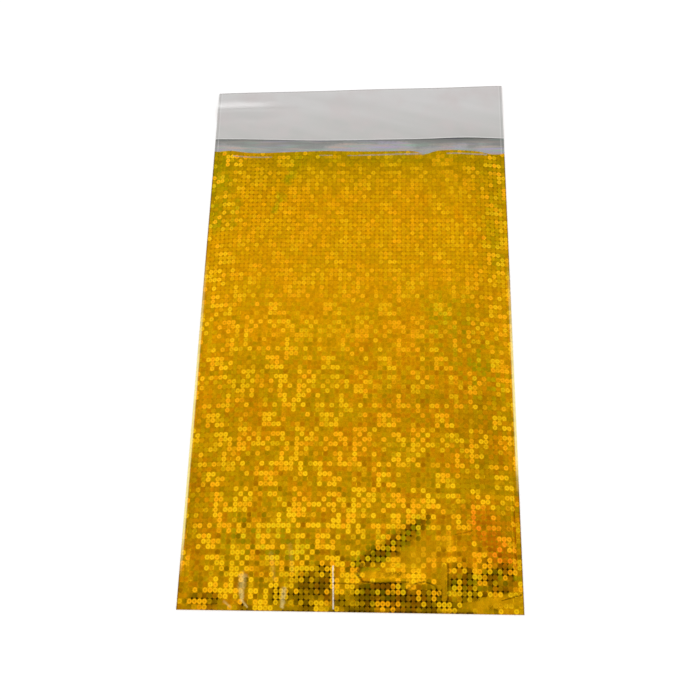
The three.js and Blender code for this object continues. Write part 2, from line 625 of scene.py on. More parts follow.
class ShaderGraph:
    """Adds nodes to one tree and links them, with plain values set in place."""

    def __init__(self, tree: bpy.types.NodeTree) -> None:
        """Keeps the tree that nodes are added to."""
        self.tree = tree

    def feed(self, socket: bpy.types.NodeSocket, value: Value) -> None:
        """Links a wire to an input, or sets a plain value on it.

        Args:
            socket: The input.
            value: The wire or the value.
        """
        if isinstance(value, Wire):
            self.tree.links.new(value.socket, socket)
        else:
            socket.default_value = value

    def node(self, kind: str, inputs: Optional[dict] = None, **settings: object) -> bpy.types.Node:
        """Adds a node.

        Args:
            kind: Blender's type name after ShaderNode.
            inputs: Values of its inputs by name or number.
            **settings: Properties to set on it first.

        Returns:
            The node.
        """
        node = self.tree.nodes.new(f"ShaderNode{kind}")
        for name, value in settings.items():
            setattr(node, name, value)
        for name, value in (inputs or {}).items():
            self.feed(node.inputs[name], value)
        return node

    def wire(
        self, kind: str, inputs: Optional[dict] = None, output: Union[int, str] = 0, **settings: object
    ) -> Wire:
        """Adds a node as node() does and returns one of its outputs."""
        return Wire(self, self.node(kind, inputs, **settings).outputs[output])

    def math(self, operation: str, *values: Value) -> Wire:
        """Adds a Math node on some values."""
        return self.wire("Math", dict(enumerate(values)), operation=operation)

    def vector(self, operation: str, first: Value, second: Value, output: str = "Vector") -> Wire:
        """Adds a Vector Math node on two vectors."""
        return self.wire("VectorMath", {0: first, 1: second}, output, operation=operation)

    def scale(self, vector: Wire, factor: Value) -> Wire:
        """Multiplies a vector or a colour by one value."""
        return self.wire("VectorMath", {"Vector": vector, "Scale": factor}, operation="SCALE")

    def highest(self, first: Wire, *others: Value) -> Wire:
        """The highest of several values.

        Args:
            first: One of them.
            *others: The others.

        Returns:
            The highest at each point.
        """
        for other in others:
            first = self.math("MAXIMUM", first, other)
        return first

    def mix(self, share: Value, first: Value, second: Value) -> Wire:
        """Mixes two colours, with a share of the second."""
        return self.wire("Mix", {0: share, 6: first, 7: second}, 2, data_type="RGBA")

    def noise(self, vector: Wire, scale: float, detail: float = 2.0) -> Wire:
        """Adds a noise of a fineness and a number of octaves."""
        return self.wire("TexNoise", {"Vector": vector, "Scale": scale, "Detail": detail}, "Fac")

    def streaks(self, vector: Wire, scale: tuple[float, float, float], detail: float = 2.0) -> Wire:
        """Adds a noise that is stretched by a scale along each axis."""
        return self.noise(self.vector("MULTIPLY", vector, scale), 1.0, detail)

    def split(self, vector: Wire) -> list[Wire]:
        """The three parts of a vector."""
        return [Wire(self, part) for part in self.node("SeparateXYZ", {0: vector}).outputs]

    def join(self, x: Value, y: Value, z: Value = 0.0) -> Wire:
        """A vector of three parts."""
        return self.wire("CombineXYZ", {0: x, 1: y, 2: z})

    def group(self, tree: bpy.types.NodeTree, inputs: dict[str, Value]) -> dict[str, Wire]:
        """Places a node group with its own values and returns its outputs by name."""
        node = self.node("Group", inputs, node_tree=tree)
        return {socket.name: Wire(self, socket) for socket in node.outputs}


class GroupGraph(ShaderGraph):
    """A node group in the making, with the values that it is given."""

    def __init__(self, name: str, inputs: dict[str, str], outputs: dict[str, str]) -> None:
        """Makes an empty group with its sockets.

        Args:
            name: The group's name.
            inputs: Kind of each input socket: Float, Vector or Color.
            outputs: Kind of each output socket.
        """
        super().__init__(bpy.data.node_groups.new(name, "ShaderNodeTree"))
        for in_out, sockets in (("INPUT", inputs), ("OUTPUT", outputs)):
            for socket, kind in sockets.items():
                self.tree.interface.new_socket(socket, in_out=in_out, socket_type=f"NodeSocket{kind}")
        source = self.tree.nodes.new("NodeGroupInput")
        self.given = {socket: Wire(self, source.outputs[socket]) for socket in inputs}
        self.result = self.tree.nodes.new("NodeGroupOutput")

    def put(self, **results: Wire) -> None:
        """Links the group's outputs, by name."""
        for name, value in results.items():
            self.feed(self.result.inputs[name], value)


def rgb(red: int, green: int, blue: int) -> Colour:
    """Linear colour of an sRGB colour, by the standard's curve: a line at its foot, then a power.

    Args:
        red: Red from 0 to 255.
        green: Green from 0 to 255.
        blue: Blue from 0 to 255.

    Returns:
        The colour, opaque.
    """
    share = np.array([red, green, blue]) / 255.0
    linear = np.where(share <= 0.04045, share / 12.92, ((share + 0.055) / 1.055) ** 2.4)
    return (*linear.tolist(), 1.0)


@cache
def dot_lattice() -> bpy.types.NodeTree:
    """Makes the lattice of embossed dots as a node group.

    Each cell of a grid on the film's own map holds one round dot. Dot is 1 inside it, Ring is
    highest a little inside its rim, and Glint is a thin stroke between some cells, where a painted
    glint goes. Lit, Hue and Tilt are random values of the cell, which repeat after a number of
    cells as the embossing roller does. Lit is partly shared by runs of three cells, so the lit dots,
    whose colour is a painted glint, stand in groups.

    Returns:
        The group.
    """
    dot_rim, ring_radius, ring_rim = (0.46, 0.55), 0.33, (0.04, 0.26)
    run_cells, tile_share, run_share, cell_share = 3.0, 0.52, 0.20, 0.28
    glint_side, glint_height, glint_chance = (0.36, 0.44), (0.26, 0.42), (0.95, 0.97)
    values = dict.fromkeys(("Dot", "Ring", "Glint", "Lit", "Hue"), "Float")
    graph = GroupGraph("dot_lattice", {"Cells": "Vector", "Repeat": "Float"}, values | {"Tilt": "Color"})

    def random(place: list[Wire], seed: float, output: str = "Value") -> Wire:
        """White noise of a cell's place."""
        inputs = {"Vector": graph.join(*place, seed)}
        return graph.wire("TexWhiteNoise", inputs, output, noise_dimensions="3D")

    places = graph.split(graph.given["Cells"])[:2]
    cell = [graph.math("FLOOR", place) for place in places]
    x, y = [place - index - 0.5 for place, index in zip(places, cell)]
    tile = [graph.math("FLOORED_MODULO", index, graph.given["Repeat"]) for index in cell]
    run = [graph.math("FLOOR", tile[0] / run_cells), tile[1]]
    radius = graph.math("SQRT", x * x + y * y)
    glint = x.step(*glint_side) * abs(y).fall(*glint_height) * random(cell, 23.0).step(*glint_chance)
    graph.put(
        Dot=radius.fall(*dot_rim),
        Ring=abs(radius - ring_radius).fall(*ring_rim),
        Glint=glint,
        Lit=random(tile, 3.0) * tile_share + random(run, 11.0) * run_share + random(cell, 17.0) * cell_share,
        Hue=random(cell, 7.0),
        Tilt=random(tile, 5.0, "Color"),
    )
    return graph.tree


@cache
def handling_marks() -> bpy.types.NodeTree:
    """Makes the marks of handling that all the films share, as a node group.

    Height is a faint ripple with fine scuffs, Cloud a slow change over the surface and Grain a
    fine one.

    Returns:
        The group.
    """
    ripple_scale, cloud_scale, grain_scale, scuff_scale = 90.0, 52.0, 650.0, 1400.0
    scuff_height, scuff_stretch = 0.06, (1.0, 0.15, 1.0)
    outputs = dict.fromkeys(("Height", "Cloud", "Grain"), "Float")
    graph = GroupGraph("handling_marks", {"Place": "Vector"}, outputs)
    place = graph.given["Place"]
    scuff = graph.noise(graph.vector("MULTIPLY", place, scuff_stretch), scuff_scale)
    graph.put(
        Height=graph.noise(place, ripple_scale, 1.0) + scuff * scuff_height,
        Cloud=graph.noise(place, cloud_scale, 3.0),
        Grain=graph.noise(place, grain_scale),
    )
    return graph.tree


@cache
def stroke_mask() -> bpy.types.NodeTree:
    """Makes a soft stroke on a film as a node group.

    Mask is Patch on the straight line between two points and falls to 0 at Width times Waver from
    it, a reach that narrows by a share towards the second point.

    Returns:
        The group.
    """
    core, least_width = 0.1, 0.01
    vectors = dict.fromkeys(("Place", "Start", "End"), "Vector")
    values = dict.fromkeys(("Width", "Taper", "Waver", "Patch"), "Float")
    graph = GroupGraph("stroke", vectors | values, {"Mask": "Float"})
    given = graph.given
    run = graph.vector("SUBTRACT", given["End"], given["Start"])
    reach = graph.vector("SUBTRACT", given["Place"], given["Start"])
    share = graph.vector("DOT_PRODUCT", reach, run, "Value") / graph.vector("DOT_PRODUCT", run, run, "Value")
    share = graph.math("MINIMUM", graph.highest(share, 0.0), 1.0)
    away = graph.vector("DISTANCE", reach, graph.scale(run, share), "Value")
    width = given["Width"] * given["Waver"] * (1.0 - given["Taper"] * share)
    graph.put(Mask=(away / graph.highest(width, least_width)).fall(core, 1.0) * given["Patch"])
    return graph.tree


@cache
def weld_line() -> bpy.types.NodeTree:
    """Makes the painted highlight and painted shade of the welding bar's line, as a node group.

    Inside is the distance from the weld's middle towards the bag's. Light is a thin painted
    highlight just inside the weld and Dark a thin painted shade just outside it.

    Returns:
        The group.
    """
    light_middle, dark_middle, rim = 0.35, -0.40, (0.10, 0.42)
    graph = GroupGraph("weld_line", {"Inside": "Float"}, {"Light": "Float", "Dark": "Float"})
    inside = graph.given["Inside"]
    graph.put(Light=abs(inside - light_middle).fall(*rim), Dark=abs(inside - dark_middle).fall(*rim))
    return graph.tree


@dataclass(frozen=True)
class Stroke:
    """A straight mark on a film, in millimetres from the bag's middle and from the fold.

    Attributes:
        start: First end.
        end: Second end.
        width: Half its width.
        strength: How strongly it shows, up to 1.
        taper: Share of its width that it loses by its second end.
    """

    start: Span
    end: Span
    width: float
    strength: float
    taper: float = 0.3


class FilmGraph(ShaderGraph):
    """A film's material in the making: its shader, its own map and the marks of handling."""

    # Painted highlight and painted shade of the welding bar's line.
    weld_highlight: ClassVar[Colour] = (0.75, 0.74, 0.73, 1.0)
    weld_shade: ClassVar[Colour] = (0.22, 0.22, 0.21, 1.0)
    weld_highlight_share: ClassVar[float] = 0.22
    weld_shade_share: ClassVar[float] = 0.30
    relief: ClassVar[float] = 0.0007
    waver_scale: ClassVar[float] = 0.6
    waver_gain: ClassVar[float] = 1.6
    waver_least: ClassVar[float] = 0.2
    patch_scale: ClassVar[float] = 1.1
    patch: ClassVar[Ramp] = (0.25, 0.60, 0.45, 1.0)

    def __init__(self, name: str, form: BagForm) -> None:
        """Starts a material.

        Args:
            name: The material's name.
            form: The bag that it is for.
        """
        self.material = bpy.data.materials.new(name)
        self.material.use_nodes = True
        super().__init__(self.material.node_tree)
        self.form = form
        self.sockets = self.tree.nodes["Principled BSDF"].inputs
        self.place = self.wire("TexCoord", output="Object")
        self.marks = self.group(handling_marks(), {"Place": self.place})
        self.chart = self.wire("UVMap", uv_map=UV_NAME)
        self.across, self.along, _ = self.split(self.chart)
        self.from_side = (0.5 - abs(self.across - 0.5)) * form.width

    def dress(self, **values: Value) -> None:
        """Feeds the shader's sockets, named with _ for each space."""
        for name, value in values.items():
            self.feed(self.sockets[name.replace("_", " ")], value)

    def strokes(self, y: Wire, *sets: tuple[Stroke, ...]) -> list[Wire]:
        """Draws sets of strokes, all with the same wavering and patchiness.

        Args:
            y: Distance from the fold in millimetres.
            *sets: The strokes of each set.

        Returns:
            The strongest stroke at each point, for each set.
        """
        place = self.join(self.across * self.form.width - self.form.width / 2, y)
        shared = {
            "Place": place,
            "Waver": self.noise(place, self.waver_scale) * self.waver_gain + self.waver_least,
            "Patch": self.noise(place, self.patch_scale).step(*self.patch),
        }
        masks = []
        for strokes in sets:
            each = []
            for stroke in strokes:
                ends = {"Start": (*stroke.start, 0.0), "End": (*stroke.end, 0.0)}
                own = {"Width": stroke.width, "Taper": stroke.taper}
                each.append(self.group(stroke_mask(), shared | ends | own)["Mask"] * stroke.strength)
            masks.append(self.highest(*each))
        return masks

    def weld_lines(self, colour: Wire) -> Wire:
        """Paints the highlight and the shade of the weld's line over a colour.

        Args:
            colour: The colour under them.

        Returns:
            The colour with the lines.
        """
        lines = self.group(weld_line(), {"Inside": self.from_side - self.form.weld_line})
        colour = self.mix(lines["Light"] * self.weld_highlight_share, colour, self.weld_highlight)
        return self.mix(lines["Dark"] * self.weld_shade_share, colour, self.weld_shade)

    def bump(self, strength: float, **inputs: Wire) -> Wire:
        """The normal with the shallow relief of handling, at a strength, over another normal."""
        values = {"Strength": strength, "Distance": self.relief, "Height": self.marks["Height"]}
        return self.wire("Bump", values | inputs)


@dataclass(frozen=True)
class FoilFinish:
    """Gold metallised film, embossed with dots that scatter light each in its own way.

    Ramps are over millimetres from the mouth or the nearer side, the width's share from the left,
    or a random value. Answer is how brightly the painted glints of lit dots show, and chance how
    likely one is lit.
    """

    dot_columns: float = 68.0
    dot_pitch_along: float = 2.525
    repeat: float = 12.0
    upper: Ramp = (60.0, 150.0, 1.0, 0.0)
    by_fold: Ramp = (130.0, 210.0, 0.0, 1.0)
    lower: Ramp = (195.0, 222.0, 0.0, 1.0)
    left: Ramp = (0.42, 0.62, 1.0, 0.0)
    off_side: Ramp = (0.04, 0.16, 0.0, 1.0)
    answer: Ramp = (35.0, 150.0, 0.30, 0.76)
    answer_by_side: Ramp = (5.0, 24.0, 0.45, 0.0)
    answer_by_fold: float = 0.28
    answer_sparks: float = 0.36
    answer_clouds: Ramp = (0.25, 0.70, 0.86, 1.06)
    dim_loss: float = 0.15
    chance_by_fold: float = 0.04
    chance_lower: float = 0.02
    chance_lower_left: float = 0.025
    chance_dim: float = -0.10
    chance_warm: float = 0.02
    chance_sparks: float = 0.05
    lit: Ramp = (0.535, 0.695, 0.0, 1.0)
    ring_contrast: float = 0.60
    ring_loss_by_fold: float = 0.06
    warmth_clouds: Ramp = (0.30, 0.70, 0.0, 0.5)
    warmth_hue: float = 0.6
    warmth_marks: float = 0.5
    warmth_lower_left: float = -0.16
    warm: Ramp = (0.25, 0.90, 0.0, 1.0)
    ember: Ramp = (0.70, 1.10, 0.0, 0.9)
    leafy: Ramp = (0.15, 0.65, 0.8, 0.0)
    contrast: float = 0.34
    contrast_loss_upper: float = 0.26
    contrast_by_mouth: Ramp = (8.0, 45.0, 0.30, 0.0)
    mouth_shade: Ramp = (5.0, 36.0, 0.50, 0.0)
    grain: Ramp = (0.30, 0.70, 0.88, 1.10)
    right_side: Ramp = (0.40, 0.60, 0.0, 40.0)
    worn_from: Ramp = (60.0, 140.0, 0.0, 1.0)
    worn_until: Ramp = (212.0, 236.0, 1.0, 0.0)
    bead: Ramp = (0.70, 1.45, 0.95, 0.0)
    cut: Ramp = (0.30, 0.80, 0.45, 0.0)
    level_normal: Colour = (0.5, 0.5, 1.0, 1.0)
    tilt: float = 0.12
    dot_share: float = 0.85
    upper_dot_share: float = 0.60
    upper_ground_share: float = 0.9
    leafy_dot_share: float = 0.8
    leafy_light_share: float = 0.7
    moss_share: float = 0.55
    smooth_share: float = 0.8
    glint_share: float = 0.7
    dull_metal_loss: float = 0.75
    roughness: float = 0.13
    dot_roughness: float = 0.27
    dull_roughness: float = 0.14
    specular: float = 0.15
    relief: float = 0.10
    ground: Colour = rgb(194, 139, 2)
    brown_dot: Colour = rgb(196, 126, 3)
    olive_dot: Colour = rgb(179, 139, 2)
    # Colours of the lit dots' painted glints.
    orange_glint: Colour = rgb(255, 175, 8)
    yellow_glint: Colour = rgb(253, 198, 10)
    plain_gold: Colour = rgb(202, 146, 6)
    edge_pale: Colour = rgb(252, 234, 150)
    # Painted highlight on a sharp crease.
    crease_highlight_white: Colour = rgb(244, 238, 222)
    # Painted highlight on the ridges of creases.
    ridge_highlight_gold: Colour = rgb(232, 208, 132)
    # Painted highlight on the creases under the mouth's edge.
    mouth_highlight_grey: Colour = rgb(160, 152, 148)
    # Dark brown: painted shade in creases, and the dark line along the cut edges.
    crease_shade_and_edge_dark: Colour = rgb(72, 48, 0)
    ember_dot: Colour = rgb(198, 106, 3)
    ember_glint: Colour = rgb(255, 132, 14)
    green_dot: Colour = rgb(160, 148, 3)
    green_glint: Colour = rgb(206, 190, 12)
    moss: Colour = rgb(134, 124, 2)
    # Towards the mouth: dots painted lighter and the ground between them painted darker, as the light falls
    # there.
    upper_dot_lit: Colour = rgb(213, 154, 3)
    upper_ground_shaded: Colour = rgb(162, 110, 2)
    mouth_dot: Colour = rgb(146, 122, 2)
    grazing: Colour = rgb(255, 222, 140)
    strokes: ClassVar[dict[Mark, tuple[Stroke, ...]]] = {
        # Painted highlight along the sharp crease near the fold.
        Mark.CREASE_HIGHLIGHT: (
            Stroke((-7.9, 20.3), (-7.4, 1.3), 0.54, 0.90, 0.0),
        ),
        # Painted highlights along the ridges of creases.
        Mark.RIDGE_HIGHLIGHT: (
            Stroke((-49.7, 15.0), (-50.2, 9.0), 2.9, 0.48, 0.3),
            Stroke((-50.1, 9.0), (-49.9, 4.6), 1.8, 0.66, 0.3),
            Stroke((-49.7, 4.4), (-47.2, 1.6), 1.0, 0.75),
            Stroke((-30.4, 9.6), (-31.0, 2.0), 1.8, 0.70, 0.2),
            Stroke((-37.0, 26.0), (-35.0, 14.0), 1.8, 0.07),
            Stroke((-28.5, 30.0), (-26.7, 18.0), 1.8, 0.06),
            Stroke((-58.0, 4.0), (-55.0, 1.5), 1.0, 0.35),
        ),
        # Painted highlights on the creases just under the mouth's edge.
        Mark.MOUTH_HIGHLIGHT: (
            Stroke((-69.0, 246.6), (-48.0, 246.5), 0.55, 0.85),
            Stroke((-21.5, 247.2), (-14.5, 247.2), 0.50, 0.60),
            Stroke((-6.0, 247.2), (2.0, 247.3), 0.50, 0.60),
            Stroke((36.0, 248.2), (0.0, 247.5), 0.95, 0.85, 0.5),
            Stroke((70.0, 248.1), (48.5, 247.9), 0.75, 0.90, 0.3),
        ),
        Mark.SMOOTH: (
            Stroke((43.6, 21.0), (43.1, 7.5), 1.9, 1.0, 0.0),
            Stroke((9.0, 17.0), (24.0, 17.0), 3.4, 0.90),
            Stroke((58.0, 4.0), (77.0, 6.0), 5.0, 0.75),
            Stroke((28.0, 24.5), (44.0, 32.0), 9.0, 0.55),
        ),
        Mark.WARM: (
            Stroke((60.0, 42.0), (72.0, 24.0), 12.0, 1.0),
            Stroke((-22.0, 13.0), (-8.0, 5.0), 5.0, 0.5),
            Stroke((8.0, 17.0), (17.0, 18.0), 4.0, 0.6),
            Stroke((-79.0, 248.0), (-48.0, 247.5), 1.6, 0.8),
            Stroke((52.5, 213.0), (55.5, 206.0), 4.5, 0.9),
            Stroke((60.5, 197.5), (66.0, 195.5), 4.0, 0.8),
            Stroke((34.8, 221.0), (36.4, 216.0), 3.5, 0.7),
        ),
        # Painted shade in creases and wrinkles.
        Mark.CREASE_SHADE: (
            Stroke((5.4, 21.0), (3.4, 17.0), 2.2, 0.85, 0.4),
            Stroke((3.4, 17.0), (6.0, 13.4), 1.2, 0.90, 0.2),
            Stroke((6.0, 13.4), (12.0, 12.8), 0.9, 0.90, 0.0),
            Stroke((12.0, 12.8), (27.0, 13.6), 0.7, 0.85, 0.2),
            Stroke((25.6, 6.0), (26.6, 10.1), 0.7, 0.60, 0.0),
            Stroke((26.6, 10.1), (30.1, 12.9), 0.7, 0.70, 0.0),
            Stroke((30.1, 12.9), (34.7, 13.9), 0.7, 0.75, 0.0),
            Stroke((34.7, 13.9), (39.3, 12.1), 0.7, 0.75, 0.0),
            Stroke((39.3, 12.1), (42.0, 7.0), 0.8, 0.70, 0.2),
            Stroke((45.5, 22.0), (45.2, 6.0), 0.8, 0.75, 0.2),
            Stroke((79.0, 8.9), (70.0, 6.2), 0.8, 0.75, 0.5),
            Stroke((49.0, 35.6), (57.0, 37.6), 0.6, 0.50, 0.3),
            Stroke((0.0, 0.5), (58.0, 0.5), 0.9, 0.60, 0.2),
            Stroke((3.8, 12.4), (-6.8, 12.9), 0.6, 0.60, 0.3),
            Stroke((-33.0, 10.4), (-32.8, 6.6), 1.0, 0.70, 0.2),
        ),
        Mark.GREEN: (
            Stroke((-77.0, 244.0), (-76.0, 205.0), 14.0, 1.0),
            Stroke((-40.0, 246.0), (60.0, 247.0), 9.0, 0.5),
            Stroke((74.0, 240.0), (75.0, 180.0), 18.0, 0.5),
            Stroke((48.0, 148.0), (66.0, 112.0), 22.0, 0.7),
            Stroke((8.0, 22.0), (33.0, 41.0), 10.0, 1.0),
            Stroke((-50.0, 36.0), (-24.0, 26.0), 16.0, 0.8),
            Stroke((-32.8, 246.5), (-38.2, 231.0), 4.2, 1.0, 0.0),
            Stroke((-41.5, 222.0), (-44.5, 212.0), 3.6, 0.9),
            Stroke((-65.5, 217.0), (-66.5, 203.0), 5.0, 0.8),
            Stroke((9.0, 8.0), (26.0, 8.0), 8.0, 0.9),
            Stroke((48.0, 13.0), (76.0, 17.0), 8.0, 0.7),
        ),
        # Painted shade, with fewer painted glints.
        Mark.SHADE_FEWER_GLINTS: (
            Stroke((6.0, 21.0), (33.0, 42.5), 6.5, 1.0, 0.0),
            Stroke((48.0, 12.0), (56.0, 8.0), 7.0, 0.7),
            Stroke((56.0, 15.0), (76.0, 18.0), 7.0, 0.7),
            Stroke((22.0, 106.5), (47.0, 103.5), 12.0, 0.8),
            Stroke((50.0, 135.0), (66.0, 60.0), 23.0, 0.45),
            Stroke((52.0, 45.0), (74.0, 35.0), 12.0, 0.9),
            Stroke((6.0, 7.0), (24.0, 7.0), 8.0, 1.0),
            Stroke((-77.0, 64.0), (-73.0, 10.0), 11.0, 1.0),
            Stroke((77.0, 60.0), (78.0, 12.0), 10.0, 1.0, 0.0),
            Stroke((-23.0, 13.0), (-9.0, 5.0), 8.0, 0.8),
        ),
        # More painted glints in these places.
        Mark.SPARK: (
            Stroke((-78.0, 246.0), (-28.0, 245.0), 10.0, 1.0),
            Stroke((-74.0, 240.0), (-74.0, 160.0), 13.0, 0.7),
            Stroke((52.0, 244.0), (78.0, 236.0), 8.0, 0.5),
            Stroke((-40.0, 38.0), (40.0, 50.0), 11.0, 1.0),
            Stroke((-72.0, 120.0), (-46.0, 120.0), 14.0, 1.0),
            Stroke((-58.0, 150.0), (-24.0, 105.0), 27.0, 0.8),
            Stroke((-37.0, 69.0), (16.0, 70.0), 13.0, 0.6),
            Stroke((-62.0, 11.0), (-38.0, 7.0), 10.0, 0.7),
            Stroke((-46.0, 32.0), (-6.0, 30.0), 9.0, 0.7),
        ),
    }

    def material(self, form: BagForm) -> bpy.types.Material:
        """Builds the material.

        Args:
            form: The bag that it is for.

        Returns:
            The material.
        """
        graph = FilmGraph("gold_foil", form)
        from_mouth = graph.along * form.flat_length
        masks = graph.strokes(form.length - from_mouth, *self.strokes.values())
        mark = dict(zip(self.strokes, masks))
        scale = (self.dot_columns, form.flat_length / self.dot_pitch_along, 1.0)
        cells = graph.vector("MULTIPLY", graph.chart, scale)
        dots = graph.group(dot_lattice(), {"Cells": cells, "Repeat": self.repeat})
        dot = dots["Dot"] * (1.0 - mark[Mark.SMOOTH])
        upper = from_mouth.step(*self.upper)
        by_fold = from_mouth.step(*self.by_fold)
        lower = from_mouth.step(*self.lower)
        lower_left = lower * graph.across.step(*self.left) * graph.across.step(*self.off_side)
        cloud = graph.marks["Cloud"]
        # Painted shade: fewer and dimmer painted glints and a darker film in these strokes.
        not_dim = 1.0 - mark[Mark.SHADE_FEWER_GLINTS] * self.dim_loss

        # Painted glints: which dots are lit, and how brightly each point of their glint shows.
        answer = from_mouth.step(*self.answer) + graph.from_side.step(*self.answer_by_side) * upper
        answer = answer + by_fold * self.answer_by_fold + mark[Mark.SPARK] * self.answer_sparks
        answer = answer * cloud.step(*self.answer_clouds) * not_dim
        chance = dots["Lit"] + by_fold * self.chance_by_fold + lower * self.chance_lower
        chance = chance + lower_left * self.chance_lower_left + mark[Mark.SHADE_FEWER_GLINTS] * self.chance_dim
        chance = chance + mark[Mark.WARM] * self.chance_warm + mark[Mark.SPARK] * self.chance_sparks
        off_ring = (1.0 - dots["Ring"]) * (self.ring_contrast - by_fold * self.ring_loss_by_fold)
        glow = chance.step(*self.lit) * answer * dot * (1.0 - off_ring)

        # Colours of unlit dots and of painted glints, from yellow to orange and in places green.
        warmth = cloud.step(*self.warmth_clouds) + dots["Hue"] * self.warmth_hue
        warmth = warmth + mark[Mark.WARM] * self.warmth_marks + lower_left * self.warmth_lower_left
        warm = warmth.step(*self.warm)
        ember = warmth.step(*self.ember) * mark[Mark.WARM]
        leafy = dots["Hue"].step(*self.leafy) * mark[Mark.GREEN]
        unlit = graph.mix(warm, self.olive_dot, self.brown_dot)
        unlit = graph.mix(ember, unlit, self.ember_dot)
        unlit = graph.mix(leafy, unlit, self.green_dot)
        # Painted light: towards the mouth the unlit dots are lighter, as the light falls there.
        unlit = graph.mix(upper * self.upper_dot_share, unlit, self.upper_dot_lit)
        unlit = graph.mix(leafy * self.leafy_dot_share, unlit, self.green_dot)
        # Colour of the painted glints.
        bright = graph.mix(warm, self.yellow_glint, self.orange_glint)
        bright = graph.mix(ember, bright, self.ember_glint)
        bright = graph.mix(leafy * self.leafy_light_share, bright, self.green_glint)

        # Ground, unlit dots and their own levels; near the mouth, painted shade darkens the ground.
        contrast = self.contrast - upper * self.contrast_loss_upper + from_mouth.step(*self.contrast_by_mouth)
        level = (dots["Lit"] - 0.5) * contrast + 1.0
        level = level * graph.marks["Grain"].step(*self.grain) * not_dim
        colour = graph.mix(upper * self.upper_ground_share, self.ground, self.upper_ground_shaded)
        colour = graph.mix(dot * self.dot_share, colour, unlit)
        colour = graph.mix(from_mouth.step(*self.mouth_shade), colour, self.mouth_dot)
        colour = graph.mix(mark[Mark.GREEN] * upper * self.moss_share, colour, self.moss)

        # Painted glints and highlights, smooth places, painted crease shade and edges over it.
        worn = from_mouth + graph.across.step(*self.right_side)
        worn = from_mouth.step(*self.worn_from) * worn.step(*self.worn_until)
        bead = graph.from_side.step(*self.bead) * worn
        layers = (
            (glow, bright),
            (mark[Mark.SMOOTH] * self.smooth_share, self.plain_gold),
            (dots["Glint"] * answer * self.glint_share, self.yellow_glint),
            (mark[Mark.CREASE_SHADE], self.crease_shade_and_edge_dark),
            (mark[Mark.RIDGE_HIGHLIGHT], self.ridge_highlight_gold),
            (mark[Mark.MOUTH_HIGHLIGHT], self.mouth_highlight_grey),
            (mark[Mark.CREASE_HIGHLIGHT], self.crease_highlight_white),
            (graph.from_side.step(*self.cut) * (1.0 - worn), self.crease_shade_and_edge_dark),
            (bead, self.edge_pale),
        )
        colour = graph.scale(colour, level)
        for share, over in layers:
            colour = graph.mix(share, colour, over)
        dull = graph.highest(mark[Mark.CREASE_HIGHLIGHT], mark[Mark.RIDGE_HIGHLIGHT], mark[Mark.MOUTH_HIGHLIGHT], bead, glow)
        lean = graph.mix(dot * self.tilt, self.level_normal, dots["Tilt"])
        facing = graph.wire("NormalMap", {"Color": lean}, uv_map=UV_NAME)
        graph.dress(
            Base_Color=colour,
            Metallic=1.0 - dull * self.dull_metal_loss,
            Roughness=dot * self.dot_roughness + dull * self.dull_roughness + self.roughness,
            Specular_IOR_Level=self.specular,
            Specular_Tint=self.grazing,
            Normal=graph.bump(self.relief, Normal=facing),
        )
        return graph.material


